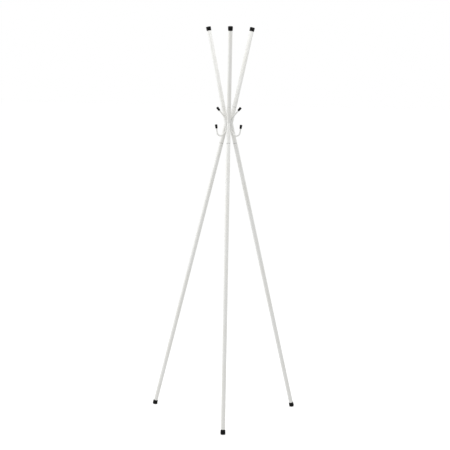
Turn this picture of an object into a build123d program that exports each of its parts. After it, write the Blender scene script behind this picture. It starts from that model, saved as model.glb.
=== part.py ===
from build123d import *
import os
from math import cos, radians, sin, sqrt

# A free-standing coat rack of bent steel tube, in millimetres. The origin is on the stand's upright axis at
# floor level, +Z is up and the front leg points along -Y. Three tubes stand at 120 degrees round the axis: each
# is a leg below the waist and an arm above it, joined by one bent tube of the welded hub. Three double hooks
# stand in the valleys between the hub's tubes. Leans are degrees from straight up, towards the outside.

# Whole stand: directions are degrees round the axis from the front, seen from above
overall_height = 1700.0
tube_directions = {"front": 0.0, "left": -120.0, "right": 120.0}
hook_directions = {"left": -60.0, "right": 60.0, "back": 180.0}

# Tubes: one round section for the hub, the arms and the legs
tube_radius = 9.0
tube_wall = 1.2
leg_lean = 164.85
arm_lean = 13.55
bend_height = 1285.0
bend_radius = 27.0
waist_radius = 11.8

# Joints of the hub with its arms and legs: swaged spigots that slide into square-cut tubes
arm_joint_distance = 70.0
leg_joint_distance = 88.0
shoulder_length = 1.6
spigot_length = 30.0
spigot_lead = 1.0
spigot_clearance = 0.05
tube_end_chamfer = 0.5

# Push-on caps: a blind bore of the given depth, a mouth, and a closed end with a rounded edge and a low crown
arm_cap = dict(bore=9.0, depth=14.4, mouth=10.1, end=10.7, wall=3.2, crown=1.0, edge=1.5)
foot = dict(bore=9.0, depth=14.0, mouth=10.2, end=11.0, wall=6.0, crown=0.4, edge=5.5)
hook_cap = dict(bore=3.25, depth=14.0, mouth=4.8, end=5.6, wall=3.2, crown=0.8, edge=2.6)
mouth_fillet = 0.4
sole_cut = 1.1

# Double hooks of round rod: an upper prong, a straight in the valley, a slant and a J
rod_radius = 3.25
weld_gap = 0.05
prong_lean = 43.0
prong_cap_middle = (53.2, 1347.7)
prong_bend_radius = 14.0
slant_height = 1251.5
slant_lean = 135.0
slant_bend_radius = 12.0
lower_hook_lean = 9.0
lower_cap_middle = (61.0, 1272.3)
lower_hook_radius = 17.5

# Weld beads: a row of drops run into one another, in each notch between a hook's rod and a hub tube
weld_height = 1290.0
drop_radius = 1.6
drop_pitch = 1.5
drop_count = 12
drop_offset = 2.8

tube_bore_radius = tube_radius - tube_wall
spigot_radius = tube_bore_radius - spigot_clearance
spigot_bore_radius = spigot_radius - tube_wall
tube_turn = arm_lean + 180.0 - leg_lean
bend_corner = (waist_radius - bend_radius * (1 / cos(radians(tube_turn / 2)) - 1), bend_height)


# ---- places in the upright plane of one tube or hook: (distance from the stand's axis, height) ----

def upright_plane(direction):
    """The upright plane through the stand's axis: x points out at the direction and y points up."""
    outward = Vector(sin(radians(direction)), -cos(radians(direction)), 0)
    return Plane(origin=(0, 0, 0), x_dir=outward, z_dir=outward.cross(Vector(0, 0, 1)))


def along(start, lean, distance):
    """The point at a distance along a leaning line."""
    return (start[0] + distance * sin(radians(lean)), start[1] + distance * cos(radians(lean)))


def at_height(start, lean, height):
    """The point where a leaning line reaches a height."""
    return along(start, lean, (height - start[1]) / cos(radians(lean)))


def meeting_point(first, first_lean, second, second_lean):
    """The point where two leaning lines cross."""
    gap = (second[0] - first[0], second[1] - first[1])
    across = gap[0] * cos(radians(second_lean)) - gap[1] * sin(radians(second_lean))
    return along(first, first_lean, across / sin(radians(first_lean - second_lean)))


def axial_plane(upright, point, lean):
    """The upright plane moved to a point on a leaning line, with y along the line."""
    across = upright.x_dir * cos(radians(lean)) - upright.y_dir * sin(radians(lean))
    return Plane(origin=upright.from_local_coords(point), x_dir=across, z_dir=upright.z_dir)


def square_plane(upright, point, lean):
    """The plane square to a leaning line, facing along it."""
    along_line = upright.x_dir * sin(radians(lean)) + upright.y_dir * cos(radians(lean))
    return Plane(origin=upright.from_local_coords(point), x_dir=upright.z_dir, z_dir=along_line)


def cap_rise(cap, lean):
    """How far a cap's closed end reaches past the end of its tube, measured up or down."""
    tilt = radians(lean)
    edge_distance = cap["end"] - cap["edge"]
    crown_fall = cap["crown"] * (edge_distance / cap["end"]) ** 2
    edge_height = cap["wall"] - crown_fall - cap["edge"]
    return cap["edge"] + edge_distance * sin(tilt) + edge_height * abs(cos(tilt))


arm_joint = along(bend_corner, arm_lean, arm_joint_distance)
leg_joint = along(bend_corner, leg_lean, leg_joint_distance)
arm_start = along(arm_joint, arm_lean, shoulder_length)
leg_start = along(leg_joint, leg_lean, shoulder_length)
arm_end = at_height(bend_corner, arm_lean, overall_height - cap_rise(arm_cap, arm_lean))
leg_end = at_height(bend_corner, leg_lean, cap_rise(foot, leg_lean) - sole_cut)

valley_direction = hook_directions["right"]
valley_depth = waist_radius * cos(radians(valley_direction))
valley_width = waist_radius * sin(radians(valley_direction))
rod_distance = valley_depth + sqrt((tube_radius + rod_radius + weld_gap) ** 2 - valley_width**2)
cap_middle_to_rod_end = (hook_cap["depth"] - hook_cap["wall"]) / 2
prong_end = along(prong_cap_middle, prong_lean, cap_middle_to_rod_end)
prong_corner = meeting_point(prong_cap_middle, prong_lean, (rod_distance, bend_height), 0.0)
slant_corner = (rod_distance, slant_height)
lower_corner = meeting_point(slant_corner, slant_lean, lower_cap_middle, lower_hook_lean)
lower_end = along(lower_cap_middle, lower_hook_lean, cap_middle_to_rod_end)


# ---- pieces ----

def tube_axis(upright, point, lean):
    """The line through a point of a leaning tube, as an axis to revolve round."""
    square = square_plane(upright, point, lean)
    return Axis(square.origin, square.z_dir)


def make_hub_tube():
    """One bent tube of the hub, hollow, narrowed at each end to a spigot with a sloping shoulder."""
    with BuildPart() as hub_tube:
        with BuildLine(front) as centreline:
            FilletPolyline(leg_joint, bend_corner, arm_joint, radius=bend_radius)
        with BuildSketch(Plane(centreline.line @ 0, z_dir=centreline.line % 0)):
            Circle(tube_radius)
            Circle(tube_bore_radius, mode=Mode.SUBTRACT)
        sweep()
        for joint, lean in ((leg_joint, leg_lean), (arm_joint, arm_lean)):
            with BuildSketch(axial_plane(front, joint, lean)):
                with BuildLine():
                    Polyline(
                        (tube_bore_radius, 0),
                        (tube_radius, 0),
                        (spigot_radius, shoulder_length),
                        (spigot_radius, spigot_length - spigot_lead),
                        (spigot_radius - spigot_lead / 2, spigot_length),
                        (spigot_bore_radius, spigot_length),
                        (spigot_bore_radius, shoulder_length),
                        close=True,
                    )
                make_face()
            revolve(axis=tube_axis(front, joint, lean))
    return hub_tube


def make_straight_tube(start, end, lean):
    """An arm or a leg: a plain tube, cut square at both ends."""
    length = sqrt((end[0] - start[0]) ** 2 + (end[1] - start[1]) ** 2)
    with BuildPart() as tube:
        with BuildSketch(square_plane(front, start, lean)):
            Circle(tube_radius)
            Circle(tube_bore_radius, mode=Mode.SUBTRACT)
        extrude(amount=length)
        rims = tube.edges().filter_by(GeomType.CIRCLE).filter_by(lambda rim: rim.radius > tube_bore_radius)
        chamfer(rims, length=tube_end_chamfer)
    return tube


def make_cap(upright, tube_end, lean, bore, depth, mouth, end, wall, crown, edge):
    """A moulded cap that is pushed over the end of a tube or rod."""
    with BuildPart() as cap:
        with BuildSketch(axial_plane(upright, tube_end, lean)) as section:
            with BuildLine():
                side = Polyline((0, wall), (0, 0), (bore, 0), (bore, -depth), (mouth, -depth), (end, wall - crown))
                TangentArc(side @ 0, side @ 1, tangent=(1, 0))
            make_face()
            fillet(section.vertices().sort_by(Axis.X)[-1], radius=edge)
            fillet(section.vertices().sort_by(Axis.Y)[:2].sort_by(Axis.X)[-1], radius=mouth_fillet)
        revolve(axis=tube_axis(upright, tube_end, lean))
    return cap


def make_foot():
    """A leg's cap with a rounded end, flat where it stands on the floor."""
    whole_foot = make_cap(front, leg_end, leg_lean, **foot)
    with BuildPart() as flat_foot:
        add(whole_foot.part)
        split(bisect_by=Plane.XY, keep=Keep.TOP)
    return flat_foot


def make_double_hook():
    """One bent rod: the upper prong, the straight that is welded in, and the lower hook."""
    with BuildPart() as double_hook:
        with BuildLine(valley) as centreline:
            FilletPolyline(
                prong_end,
                prong_corner,
                slant_corner,
                lower_corner,
                lower_end,
                radius=[prong_bend_radius, slant_bend_radius, lower_hook_radius],
            )
        with BuildSketch(Plane(centreline.line @ 0, z_dir=centreline.line % 0)):
            Circle(rod_radius)
        sweep()
    return double_hook


def notch_plane():
    """The upright plane through a bead's own axis, in the outer notch between the rod and the front tube."""
    rod_middle = valley.x_dir * rod_distance
    tube_middle = front.x_dir * waist_radius
    to_tube = (tube_middle - rod_middle).normalized()
    out_of_notch = to_tube.cross(front.y_dir) * -1
    notch = rod_middle + to_tube * rod_radius + out_of_notch * drop_offset
    return Plane(origin=notch + front.y_dir * weld_height, x_dir=out_of_notch, z_dir=to_tube)


def make_hook_welds(double_hook, hub_tube):
    """Two beads, each a row of drops run together, that join one rod to the hub tubes beside it."""
    neck_radius = sqrt(drop_radius**2 - (drop_pitch / 2) ** 2)
    half_row = drop_pitch * (drop_count - 1) / 2
    bottom = (0, -half_row - drop_radius)
    top = (0, half_row + drop_radius)
    necks = [(neck_radius, drop_pitch * (index + 0.5) - half_row) for index in range(drop_count - 1)]
    ends = [bottom, *necks, top]
    notch = notch_plane()
    with BuildPart() as welds:
        with BuildSketch(notch):
            with BuildLine():
                for index in range(drop_count):
                    ThreePointArc(ends[index], (drop_radius, drop_pitch * index - half_row), ends[index + 1])
                Line(top, bottom)
            make_face()
        revolve(axis=Axis(notch.origin, notch.y_dir))
        add(hub_tube.part, mode=Mode.SUBTRACT)
        add(double_hook.part, mode=Mode.SUBTRACT)
        mirror(about=valley)
    return welds


def turned(piece, angle):
    """A copy of a finished piece, turned round the stand's axis."""
    with BuildPart() as copy:
        add(piece.part, rotation=(0, 0, angle))
    return copy


# ---- the stand: each piece is made once, then turned to its three places ----

front = upright_plane(tube_directions["front"])
valley = upright_plane(valley_direction)

hub_tube = make_hub_tube()
tube_pieces = {
    "hub_tube": hub_tube,
    "arm": make_straight_tube(arm_start, arm_end, arm_lean),
    "arm_cap": make_cap(front, arm_end, arm_lean, **arm_cap),
    "leg": make_straight_tube(leg_start, leg_end, leg_lean),
    "foot": make_foot(),
}
double_hook = make_double_hook()
hook_pieces = {
    "double_hook": double_hook,
    "upper_hook_cap": make_cap(valley, prong_end, prong_lean, **hook_cap),
    "lower_hook_cap": make_cap(valley, lower_end, lower_hook_lean, **hook_cap),
    "hook_welds": make_hook_welds(double_hook, hub_tube),
}

os.makedirs("parts", exist_ok=True)
for pieces, directions in ((tube_pieces, tube_directions), (hook_pieces, hook_directions)):
    first_direction = valley_direction if pieces is hook_pieces else 0.0
    for place, direction in directions.items():
        for kind, piece in pieces.items():
            name = turned(piece, direction - first_direction)
            name.part.label = f"{kind}_{place}"
            export_step(name.part, f"parts/{name.part.label}.step")
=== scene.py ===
from math import cos, pi, radians, sin, sqrt

import bmesh
import bpy
from mathutils import Euler, Matrix, Vector, noise
from mathutils.bvhtree import BVHTree


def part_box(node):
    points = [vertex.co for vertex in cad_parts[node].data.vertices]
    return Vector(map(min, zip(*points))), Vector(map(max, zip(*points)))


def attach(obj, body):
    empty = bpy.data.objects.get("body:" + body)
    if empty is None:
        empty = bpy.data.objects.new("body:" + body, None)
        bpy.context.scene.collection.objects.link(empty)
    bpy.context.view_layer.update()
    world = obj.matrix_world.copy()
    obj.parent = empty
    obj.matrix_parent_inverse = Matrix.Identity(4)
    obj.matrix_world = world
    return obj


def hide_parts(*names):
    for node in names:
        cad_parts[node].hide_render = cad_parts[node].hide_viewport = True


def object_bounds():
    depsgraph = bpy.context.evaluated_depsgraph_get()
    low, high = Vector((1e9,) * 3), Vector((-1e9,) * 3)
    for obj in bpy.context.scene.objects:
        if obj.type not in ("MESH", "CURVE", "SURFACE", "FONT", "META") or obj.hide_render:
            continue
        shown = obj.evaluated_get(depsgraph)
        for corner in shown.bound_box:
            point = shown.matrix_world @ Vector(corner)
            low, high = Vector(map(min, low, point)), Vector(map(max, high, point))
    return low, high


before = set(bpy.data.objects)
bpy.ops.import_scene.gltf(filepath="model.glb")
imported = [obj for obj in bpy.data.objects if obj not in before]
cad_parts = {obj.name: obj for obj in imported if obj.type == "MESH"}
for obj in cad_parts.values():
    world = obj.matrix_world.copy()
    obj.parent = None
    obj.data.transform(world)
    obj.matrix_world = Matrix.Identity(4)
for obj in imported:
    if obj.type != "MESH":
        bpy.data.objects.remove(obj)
cad_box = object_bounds()

# The looks of a free-standing coat rack: white powder-coated steel tube and rod, with pushed-on caps and feet of
# black moulded plastic. Lengths are metres in the frame of the imported model: +Z is up and the front leg points
# along -Y. Colours are linear.

# White powder coat: as sprayed, a little yellowed, thin on an edge, rubbed, scuffed, and with shade painted nearly
# black into a tight groove
coat_colour = (0.833, 0.833, 0.812, 1)
yellowed_coat_colour = (0.808, 0.802, 0.768, 1)
thin_coat_colour = (0.58, 0.58, 0.56, 1)
rubbed_coat_colour = (0.70, 0.69, 0.66, 1)
scuffed_coat_colour = (0.50, 0.50, 0.495, 1)
# Painted shade: the near-black put into shaded hollows and the joint rings
groove_shade_colour = (0.05, 0.048, 0.044, 1)
coat_specular = 0.5
yellowed_patch_size = 0.09

# Black plastic: as moulded, worn pale on an edge, and scraped by the floor
plastic_colour = (0.003, 0.003, 0.003, 1)
worn_plastic_colour = (0.045, 0.045, 0.044, 1)
scraped_plastic_colour = (0.07, 0.068, 0.064, 1)
plastic_specular = 0.1
scrape_streak_size = 0.0012

dust_colour = (0.40, 0.385, 0.36, 1)
white = (1, 1, 1, 1)

# How much roughness a full rub takes off the coat, and how much a full scuff adds to coat and plastic
rub_polish = -0.3
coat_scuff_dulling = 0.6
plastic_scuff_dulling = 0.4

# Where each mask starts and where it is full. Noise runs from 0 to 1. A match is 1 on a smooth surface and falls on
# an edge, openness is 1 where nothing shades the surface, and upward is 1 where it faces straight up.
wear_match = (0.995, 0.9)
wear_noise = (0.35, 0.6)
# Painted shade in the hollows: full where openness is low and the surface faces down, none where it faces up
groove_openness = (0.95, 0.6)
groove_upward = (0.45, -0.25)
scuff_mark_noise = (0.6, 0.72)
scuff_patch_noise = (0.48, 0.62)
dust_upward = (0.1, 0.9)
dust_noise = (0.3, 0.7)
yellowed_noise = (0.35, 0.7)
scrape_height = (0.005, 0.0005)
scrape_noise = (0.42, 0.62)
mould_line_widths = (0.8, 0.2)

# Grain is this much finer than the waves that it lies on, and scuffs are drawn out along Z and a little bent
grain_share = 0.23
scuff_stretch = (1, 1, 0.16)
scuff_bending = 0.4

# Where the hooks stand round the axis, in degrees from the front, seen from above, and the tubes beside each
hook_directions = {"left": -60.0, "right": 60.0, "back": 180.0}
hook_tubes = {"left": ("front", "left"), "right": ("front", "right"), "back": ("left", "right")}

# Weld beads: a run of metal in each notch between a hook's rod and a hub tube. A bead's leg is how far it reaches
# over the rod and the tube from where they meet.
bead_leg = 0.0029
bead_bulge = 0.0006
bead_sunk = 0.0002
bead_end_length = 0.0024
bead_end_fullness = 0.25
leg_unevenness = 0.16
unevenness_length = 0.004
ripple_pitch = 0.0014
ripple_depth = 0.00024
ripple_sweep = 0.0011
bead_rings = 150
bead_points_across = 19
bead_points_sunk = 2

# The view: a long lens a little above the hooks, looking slightly down
camera_place = Vector((-0.0075, -6.507, 1.579))
camera_pitch = 6.46
camera_roll = 1.07
camera_lens = 120.3
camera_sensor_width = 36.0
camera_reach = 200.0

# Studio: an even white room and a pale floor
room_level = 0.734
floor_colour = (0.80, 0.80, 0.80, 1)
floor_specular = 0.0
floor_roughness = 0.9
floor_glow = 0.42
floor_half_width = 40.0
lamps_aim = Vector((0, 0, 1.2))

# A Mix node names its number, vector and colour sockets alike, so its colour sockets go by their places
mix_share, mix_first_colour, mix_second_colour, mix_result = 0, 6, 7, 2


# ---- node helpers ----

def add_node(tree, kind, values=None, **settings):
    """Adds a node. Values go to its inputs by name or number: a socket is linked and anything else is set."""
    made = tree.nodes.new(kind)
    for setting, value in settings.items():
        setattr(made, setting, value)
    for key, value in (values or {}).items():
        if isinstance(value, bpy.types.NodeSocket):
            tree.links.new(value, made.inputs[key])
        else:
            made.inputs[key].default_value = value
    return made


def math_node(tree, operation, *values):
    """Adds a Math node and gives its result."""
    return add_node(tree, "ShaderNodeMath", dict(enumerate(values)), operation=operation).outputs[0]


def ramp(tree, value, start, full):
    """A mask that goes smoothly from 0 to 1 while the value goes from start, up or down, to full."""
    inputs = {"Value": value, "From Min": start, "From Max": full}
    return add_node(tree, "ShaderNodeMapRange", inputs, interpolation_type="SMOOTHSTEP").outputs["Result"]


def noise_at(tree, patch_size, detail):
    """Noise from 0 to 1 with patches of about the given size in metres, fixed to the piece."""
    place = add_node(tree, "ShaderNodeTexCoord").outputs["Object"]
    density = math_node(tree, "DIVIDE", 1.0, patch_size)
    inputs = {"Vector": place, "Scale": density, "Detail": detail}
    return add_node(tree, "ShaderNodeTexNoise", inputs).outputs["Fac"]


def facing_up(tree):
    """How far the surface faces up, from -1 to 1."""
    surface = add_node(tree, "ShaderNodeNewGeometry").outputs["Normal"]
    return add_node(tree, "ShaderNodeSeparateXYZ", {"Vector": surface}).outputs["Z"]


def mix_colours(tree, share, first, second):
    """The first colour where the share is 0 and the second where it is 1."""
    inputs = {mix_share: share, mix_first_colour: first, mix_second_colour: second}
    return add_node(tree, "ShaderNodeMix", inputs, data_type="RGBA").outputs[mix_result]


def start_group(name, inputs, output):
    """Starts a shader node group with named inputs, at the values given, and one named output."""
    group = bpy.data.node_groups.new(name, "ShaderNodeTree")
    for socket_name, value in inputs.items():
        socket = group.interface.new_socket(socket_name, in_out="INPUT", socket_type="NodeSocketFloat")
        socket.default_value = value
    group.interface.new_socket(output, in_out="OUTPUT", socket_type="NodeSocketFloat")
    return group, group.nodes.new("NodeGroupInput").outputs


def end_group(group, result):
    """Links the result to the group's output."""
    add_node(group, "NodeGroupOutput", {0: result})
    return group


def place_group(tree, group, values):
    """Places a node group in a material with that material's own values, and gives its output."""
    return add_node(tree, "ShaderNodeGroup", values, node_tree=group).outputs[0]


# ---- effects that several finishes share ----

def make_fine_relief():
    """The skin of a coat or a moulding: rounded waves with a finer grain on them, as a height in metres."""
    group, given = start_group("fine_relief", {"Wave length": 0.0015, "Depth": 0.00002, "Grain": 0.2}, "Height")
    waves = noise_at(group, given["Wave length"], detail=1.0)
    grain_size = math_node(group, "MULTIPLY", given["Wave length"], grain_share)
    grain = math_node(group, "MULTIPLY", noise_at(group, grain_size, detail=2.0), given["Grain"])
    both = math_node(group, "ADD", waves, grain)
    return end_group(group, math_node(group, "MULTIPLY", both, given["Depth"]))


def make_uneven_gloss():
    """Patches that are a little glossier or duller than the rest, from spraying, wiping and handling."""
    group, given = start_group("uneven_gloss", {"Patch size": 0.04, "Roughness": 0.4, "Spread": 0.1}, "Roughness")
    patches = noise_at(group, given["Patch size"], detail=4.0)
    offset = math_node(group, "MULTIPLY", math_node(group, "SUBTRACT", patches, 0.5), given["Spread"])
    return end_group(group, math_node(group, "ADD", given["Roughness"], offset))


def make_worn_edges():
    """A mask of the outward edges, broken up as wear and thin coating are."""
    group, given = start_group("worn_edges", {"Width": 0.0006, "Break-up size": 0.003, "Amount": 0.5}, "Mask")
    surface = add_node(group, "ShaderNodeNewGeometry").outputs["Normal"]
    rounded = add_node(group, "ShaderNodeBevel", {"Radius": given["Width"]}, samples=4).outputs["Normal"]
    match = add_node(group, "ShaderNodeVectorMath", {0: surface, 1: rounded}, operation="DOT_PRODUCT")
    edge = ramp(group, match.outputs["Value"], *wear_match)
    broken = ramp(group, noise_at(group, given["Break-up size"], detail=3.0), *wear_noise)
    mask = math_node(group, "MULTIPLY", edge, broken)
    return end_group(group, math_node(group, "MULTIPLY", mask, given["Amount"]))


def make_groove_shade_group():
    """A mask of painted shade: hollows that a surface within a short reach shades, full where they face down and
    fading out where they face up.
    """
    group, given = start_group("groove_shade_group", {"Reach": 0.003, "Amount": 0.5}, "Mask")
    occlusion = add_node(group, "ShaderNodeAmbientOcclusion", {"Distance": given["Reach"]}, samples=8)
    shaded = ramp(group, occlusion.outputs["AO"], *groove_openness)
    # The painted shade only where the hollow faces down, away from the light from above
    facing_down = ramp(group, facing_up(group), *groove_upward)
    mask = math_node(group, "MULTIPLY", shaded, facing_down)
    return end_group(group, math_node(group, "MULTIPLY", mask, given["Amount"]))


def make_scuffs():
    """A mask of fine scuffs: short broken marks that run mostly up and down, gathered in patches."""
    group, given = start_group("scuffs", {"Mark size": 0.0006, "Patch size": 0.02, "Amount": 0.5}, "Mask")
    place = add_node(group, "ShaderNodeTexCoord").outputs["Object"]
    drawn_out = add_node(group, "ShaderNodeVectorMath", {0: place, 1: scuff_stretch}, operation="MULTIPLY")
    density = math_node(group, "DIVIDE", 1.0, given["Mark size"])
    inputs = {"Vector": drawn_out.outputs["Vector"], "Scale": density, "Detail": 2.0, "Distortion": scuff_bending}
    marks = ramp(group, add_node(group, "ShaderNodeTexNoise", inputs).outputs["Fac"], *scuff_mark_noise)
    patches = ramp(group, noise_at(group, given["Patch size"], detail=2.0), *scuff_patch_noise)
    mask = math_node(group, "MULTIPLY", marks, patches)
    return end_group(group, math_node(group, "MULTIPLY", mask, given["Amount"]))


def make_settled_dust():
    """A mask of what settles on, or rubs, the surfaces that face up, in soft patches."""
    group, given = start_group("settled_dust", {"Patch size": 0.02, "Amount": 0.1}, "Mask")
    lying = ramp(group, facing_up(group), *dust_upward)
    patches = ramp(group, noise_at(group, given["Patch size"], detail=3.0), *dust_noise)
    mask = math_node(group, "MULTIPLY", lying, patches)
    return end_group(group, math_node(group, "MULTIPLY", mask, given["Amount"]))


def make_mould_line():
    """
    The fine raised line where the halves of a mould met, as a height in metres. It runs along each cap in the
    upright plane through the cap and the stand's axis, and three such planes hold all the caps.
    """
    group, given = start_group("mould_line", {"Width": 0.0003, "Depth": 0.00008}, "Height")
    place = add_node(group, "ShaderNodeTexCoord").outputs["Object"]
    lines = []
    for direction in hook_directions.values():
        across = (cos(radians(direction)), sin(radians(direction)), 0)
        distance = add_node(group, "ShaderNodeVectorMath", {0: place, 1: across}, operation="DOT_PRODUCT")
        away = math_node(group, "ABSOLUTE", distance.outputs["Value"])
        lines.append(ramp(group, math_node(group, "DIVIDE", away, given["Width"]), *mould_line_widths))
    together = math_node(group, "MAXIMUM", math_node(group, "MAXIMUM", lines[0], lines[1]), lines[2])
    return end_group(group, math_node(group, "MULTIPLY", together, given["Depth"]))


fine_relief = make_fine_relief()
uneven_gloss = make_uneven_gloss()
worn_edges = make_worn_edges()
groove_shade_group = make_groove_shade_group()
scuffs = make_scuffs()
settled_dust = make_settled_dust()
mould_line = make_mould_line()


# ---- finishes ----

def start_material(name, specular_level):
    """A new material with its shader, and the specular level that is the same all over it."""
    material = bpy.data.materials.new(name)
    material.use_nodes = True
    shader = material.node_tree.nodes["Principled BSDF"]
    shader.inputs["Specular IOR Level"].default_value = specular_level
    return material, material.node_tree, shader


def finish_material(tree, shader, colour, roughness, height):
    """Links the colour, roughness and relief, a height in metres, to the shader."""
    tree.links.new(colour, shader.inputs["Base Color"])
    tree.links.new(roughness, shader.inputs["Roughness"])
    bump = add_node(tree, "ShaderNodeBump", {"Height": height, "Distance": 1.0})
    tree.links.new(bump.outputs["Normal"], shader.inputs["Normal"])


def change_gloss(tree, gloss, mask, change):
    """Adds a change of roughness where a mask is full, and less where it isn't."""
    return math_node(tree, "ADD", gloss, math_node(tree, "MULTIPLY", mask, change))


def make_coated_steel(name, wave_length, wave_depth, rub, dust, groove_reach, groove_shade_amount):
    """
    Satin white powder coat over steel. By the given amounts it is rubbed to a shine on top, where things hang, it is
    dusty there, and shade is painted nearly black into the hollows that a neighbour shades within the given reach.
    """
    material, tree, shader = start_material(name, coat_specular)
    yellowed = ramp(tree, noise_at(tree, yellowed_patch_size, detail=3.0), *yellowed_noise)
    edges = place_group(tree, worn_edges, {"Width": 0.0005, "Break-up size": 0.002, "Amount": 0.75})
    # Painted shade mask for the shaded hollows that face down
    groove_shade = place_group(tree, groove_shade_group, {"Reach": groove_reach, "Amount": groove_shade_amount})
    dusty = place_group(tree, settled_dust, {"Patch size": 0.025, "Amount": dust})
    rubbed = place_group(tree, settled_dust, {"Patch size": 0.006, "Amount": rub})
    scuffed = place_group(tree, scuffs, {"Mark size": 0.0007, "Patch size": 0.03, "Amount": 0.3})
    colour = mix_colours(tree, yellowed, coat_colour, yellowed_coat_colour)
    colour = mix_colours(tree, edges, colour, thin_coat_colour)
    colour = mix_colours(tree, rubbed, colour, rubbed_coat_colour)
    colour = mix_colours(tree, scuffed, colour, scuffed_coat_colour)
    colour = mix_colours(tree, dusty, colour, dust_colour)
    # Painted shade: nearly black in the shaded hollows and joint rings
    colour = mix_colours(tree, groove_shade, colour, groove_shade_colour)
    gloss = place_group(tree, uneven_gloss, {"Patch size": 0.02, "Roughness": 0.38, "Spread": 0.3})
    gloss = change_gloss(tree, gloss, rubbed, rub_polish)
    gloss = change_gloss(tree, gloss, scuffed, coat_scuff_dulling)
    relief = place_group(tree, fine_relief, {"Wave length": wave_length, "Depth": wave_depth, "Grain": 0.2})
    finish_material(tree, shader, colour, gloss, relief)
    return material


def make_black_plastic(name, grain_depth, wear, scrape):
    """Matt black moulded plastic, pale where its edges wear and where the floor has scraped it."""
    material, tree, shader = start_material(name, plastic_specular)
    edges = place_group(tree, worn_edges, {"Width": 0.0009, "Break-up size": 0.002, "Amount": wear})
    dusty = place_group(tree, settled_dust, {"Patch size": 0.006, "Amount": 0.035})
    scuffed = place_group(tree, scuffs, {"Mark size": 0.0004, "Patch size": 0.007, "Amount": 0.5})
    place = add_node(tree, "ShaderNodeTexCoord").outputs["Object"]
    height = add_node(tree, "ShaderNodeSeparateXYZ", {"Vector": place}).outputs["Z"]
    near_floor = ramp(tree, height, *scrape_height)
    streaks = ramp(tree, noise_at(tree, scrape_streak_size, detail=4.0), *scrape_noise)
    scraped = math_node(tree, "MULTIPLY", math_node(tree, "MULTIPLY", near_floor, streaks), scrape)
    colour = mix_colours(tree, edges, plastic_colour, worn_plastic_colour)
    colour = mix_colours(tree, scuffed, colour, worn_plastic_colour)
    colour = mix_colours(tree, dusty, colour, dust_colour)
    colour = mix_colours(tree, scraped, colour, scraped_plastic_colour)
    gloss = place_group(tree, uneven_gloss, {"Patch size": 0.006, "Roughness": 0.5, "Spread": 0.35})
    gloss = change_gloss(tree, gloss, scuffed, plastic_scuff_dulling)
    grain = place_group(tree, fine_relief, {"Wave length": 0.0005, "Depth": grain_depth, "Grain": 0.5})
    line = place_group(tree, mould_line, {"Width": 0.0003, "Depth": 0.00008})
    finish_material(tree, shader, colour, gloss, math_node(tree, "ADD", grain, line))
    return material


# The groove reach and the last amount set how far and how strongly painted shade darkens each finish's shaded hollows
coated_tube = make_coated_steel("coated_tube", wave_length=0.0016, wave_depth=0.00005,
                                rub=0.1, dust=0.05, groove_reach=0.0025, groove_shade_amount=1.0)
coated_rod = make_coated_steel("coated_rod", wave_length=0.0012, wave_depth=0.00004,
                               rub=0.55, dust=0.03, groove_reach=0.004, groove_shade_amount=0.7)
coated_weld = make_coated_steel("coated_weld", wave_length=0.0007, wave_depth=0.00004,
                                rub=0.1, dust=0.08, groove_reach=0.002, groove_shade_amount=0.7)
cap_plastic = make_black_plastic("cap_plastic", grain_depth=0.00004, wear=0.5, scrape=0.0)
foot_plastic = make_black_plastic("foot_plastic", grain_depth=0.00005, wear=0.8, scrape=0.9)

# The finish of each kind of piece. Every other kind is tube.
finishes = {
    "double_hook": coated_rod,
    "arm_cap": cap_plastic,
    "upper_hook_cap": cap_plastic,
    "lower_hook_cap": cap_plastic,
    "foot": foot_plastic,
}
for node_name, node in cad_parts.items():
    kind = node_name.rpartition("_")[0]
    for material_slot in node.material_slots:
        material_slot.material = finishes.get(kind, coated_tube)


# ---- weld beads ----

def link(name, mesh):
    """Puts a new mesh in the scene as an object."""
    made = bpy.data.objects.new(name, mesh)
    bpy.context.scene.collection.objects.link(made)
    return made


def outward(direction):
    """The level direction that points out from the stand's axis, given in degrees from the front."""
    return Vector((sin(radians(direction)), -cos(radians(direction)), 0))


def square_to(line, side):
    """The level direction square to a level line, on the given side of it."""
    square = line.cross(Vector((0, 0, 1))).normalized()
    return square if square.dot(side) > 0 else -square


def surface_of(node_name):
    """A CAD node's surface, to find its nearest point to a place."""
    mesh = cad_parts[node_name].data
    corners = [vertex.co for vertex in mesh.vertices]
    return BVHTree.FromPolygons(corners, [face.vertices for face in mesh.polygons])


def bead_ring(rod_middle, tube_side, out, fullness, run, seed):
    """
    One level ring of a bead: points on a bulging curve from the rod's surface to the tube's, then two points sunk
    where rod and tube meet. The tube side is the tube's nearest point, and the run is the height up the bead.
    """
    across = Vector((tube_side.x - rod_middle.x, tube_side.y - rod_middle.y, 0))
    tube_middle = rod_middle + across * (1 + tube_radius / across.length)
    across.normalize()
    notch = square_to(across, out)
    wander = noise.noise(Vector((run / unevenness_length, seed, 0)))
    leg = bead_leg * fullness * (1 + leg_unevenness * wander)
    rod_turn = leg / rod_radius
    tube_turn = leg / tube_radius
    start = rod_middle + (across * cos(rod_turn) + notch * sin(rod_turn)) * (rod_radius - bead_sunk)
    end = tube_middle + (notch * sin(tube_turn) - across * cos(tube_turn)) * (tube_radius - bead_sunk)
    bulging = square_to(end - start, out)
    points = []
    for index in range(bead_points_across):
        share = index / (bead_points_across - 1)
        arch = 4 * share * (1 - share)
        ripple = abs(sin(pi * (run + ripple_pitch * wander - ripple_sweep * arch) / ripple_pitch))
        height = (bead_bulge + ripple_depth * ripple) * arch * fullness
        points.append(start.lerp(end, share) + bulging * height)
    points.append(tube_middle - across * (tube_radius - bead_sunk))
    points.append(rod_middle + across * (rod_radius - bead_sunk))
    return points


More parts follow.
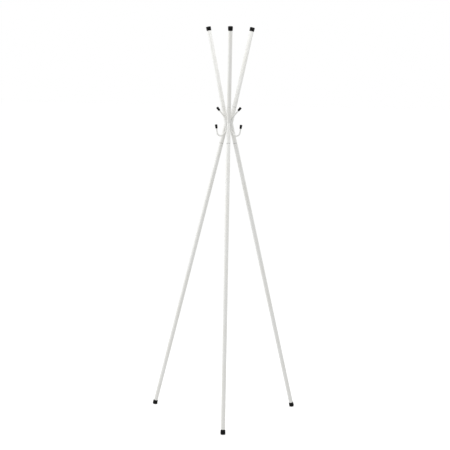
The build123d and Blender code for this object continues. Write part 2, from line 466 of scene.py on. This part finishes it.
def make_bead(rod_foot, tube_name, out, low, high, seed):
    """The points and faces of one bead, closed at both ends."""
    surface = surface_of(tube_name)
    points = []
    faces = []
    count = bead_points_across + bead_points_sunk
    for ring in range(bead_rings):
        run = (high - low) * ring / (bead_rings - 1)
        rod_middle = rod_foot + Vector((0, 0, low + run))
        tube_side = surface.find_nearest(rod_middle)[0]
        into_end = max(0.0, 1 - min(run, high - low - run) / bead_end_length)
        fullness = bead_end_fullness + (1 - bead_end_fullness) * sqrt(1 - into_end ** 2)
        points += bead_ring(rod_middle, tube_side, out, fullness, run, seed)
        if ring:
            base = (ring - 1) * count
            for index in range(count):
                after = (index + 1) % count
                faces.append((base + index, base + after, base + count + after, base + count + index))
    faces.append(tuple(range(count))[::-1])
    faces.append(tuple(range(len(points) - count, len(points))))
    return points, faces


def make_weld_beads(place, direction):
    """The two beads that join one hook's rod to the hub tubes beside it."""
    out = outward(direction)
    welds_low, welds_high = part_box(f"hook_welds_{place}")
    points = []
    faces = []
    for seed, tube_place in enumerate(hook_tubes[place]):
        bead = make_bead(out * rod_distance, f"hub_tube_{tube_place}", out, welds_low.z, welds_high.z,
                         direction + seed)
        faces += [tuple(index + len(points) for index in face) for face in bead[1]]
        points += bead[0]
    mesh = bpy.data.meshes.new(f"weld_beads_{place}")
    mesh.from_pydata(points, [], faces)
    made = bmesh.new()
    made.from_mesh(mesh)
    bmesh.ops.recalc_face_normals(made, faces=made.faces)
    made.to_mesh(mesh)
    made.free()
    mesh.shade_smooth()
    mesh.materials.append(coated_weld)
    piece = link(f"weld_beads_{place}", mesh)
    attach(piece, "root")
    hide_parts(f"hook_welds_{place}")


hub_low, hub_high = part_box("hub_tube_front")
rod_low, rod_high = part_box("double_hook_back")
tube_radius = (hub_high.x - hub_low.x) / 2
rod_radius = (rod_high.x - rod_low.x) / 2
rod_distance = rod_low.y + rod_radius
for hook_place, hook_direction in hook_directions.items():
    make_weld_beads(hook_place, hook_direction)


# ---- studio ----

def seen_directly(tree):
    """1 where the viewer, or a reflection, looks at the surface, and 0 where it lights something else."""
    path = add_node(tree, "ShaderNodeLightPath").outputs
    seen = math_node(tree, "MAXIMUM", path["Is Camera Ray"], path["Is Glossy Ray"])
    return math_node(tree, "MAXIMUM", seen, path["Is Transmission Ray"])


def make_floor():
    """A wide pale floor that looks white and keeps the stand's shadow."""
    mesh = bpy.data.meshes.new("floor")
    half = floor_half_width
    level = cad_box[0].z
    corners = [(-half, -half, level), (half, -half, level), (half, half, level), (-half, half, level)]
    mesh.from_pydata(corners, [], [(0, 1, 2, 3)])
    link("floor", mesh)
    material, tree, shader = start_material("white_floor", floor_specular)
    shader.inputs["Base Color"].default_value = floor_colour
    shader.inputs["Roughness"].default_value = floor_roughness
    shader.inputs["Emission Color"].default_value = white
    glow = math_node(tree, "MULTIPLY", seen_directly(tree), floor_glow)
    tree.links.new(glow, shader.inputs["Emission Strength"])
    mesh.materials.append(material)


def make_room():
    """An even white room: full white to look at, and dimmer where it lights the stand."""
    world = bpy.data.worlds.new("white_room")
    world.use_nodes = True
    tree = world.node_tree
    levels = {"Value": seen_directly(tree), "To Min": room_level, "To Max": 1.0}
    level = add_node(tree, "ShaderNodeMapRange", levels).outputs["Result"]
    tree.links.new(level, tree.nodes["Background"].inputs["Strength"])
    tree.nodes["Background"].inputs["Color"].default_value = white
    bpy.context.scene.world = world


def add_soft_lamp(name, place, width, power):
    """A round soft lamp, aimed at the stand, that the camera doesn't see."""
    light = bpy.data.lights.new(name, "AREA")
    light.shape = "DISK"
    light.size = width
    light.energy = power
    lamp = bpy.data.objects.new(name, light)
    lamp.location = place
    lamp.visible_camera = False
    lamp.rotation_euler = (lamps_aim - Vector(place)).to_track_quat("-Z", "Y").to_euler()
    bpy.context.scene.collection.objects.link(lamp)


def add_camera():
    """The scene's camera, tipped down from level by its pitch and turned about its line of sight by its roll."""
    camera_data = bpy.data.cameras.new("camera")
    camera_data.lens = camera_lens
    camera_data.sensor_width = camera_sensor_width
    camera_data.clip_end = camera_reach
    camera = bpy.data.objects.new("camera", camera_data)
    tilt = Euler((radians(90 - camera_pitch), 0, 0)).to_matrix()
    roll = Matrix.Rotation(radians(camera_roll), 3, "Z")
    camera.location = camera_place
    camera.rotation_euler = (tilt @ roll).to_euler()
    bpy.context.scene.collection.objects.link(camera)
    bpy.context.scene.camera = camera


make_floor()
make_room()
add_soft_lamp("overhead_lamp", place=(0, -0.4, 2.6), width=1.0, power=7.1)
add_soft_lamp("left_lamp", place=(-2.5, 0, 1.5), width=1.6, power=22.7)
add_soft_lamp("right_lamp", place=(1.4, -0.4, 2.6), width=1.2, power=4.0)
add_camera()
bpy.context.scene.view_settings.view_transform = "Standard"
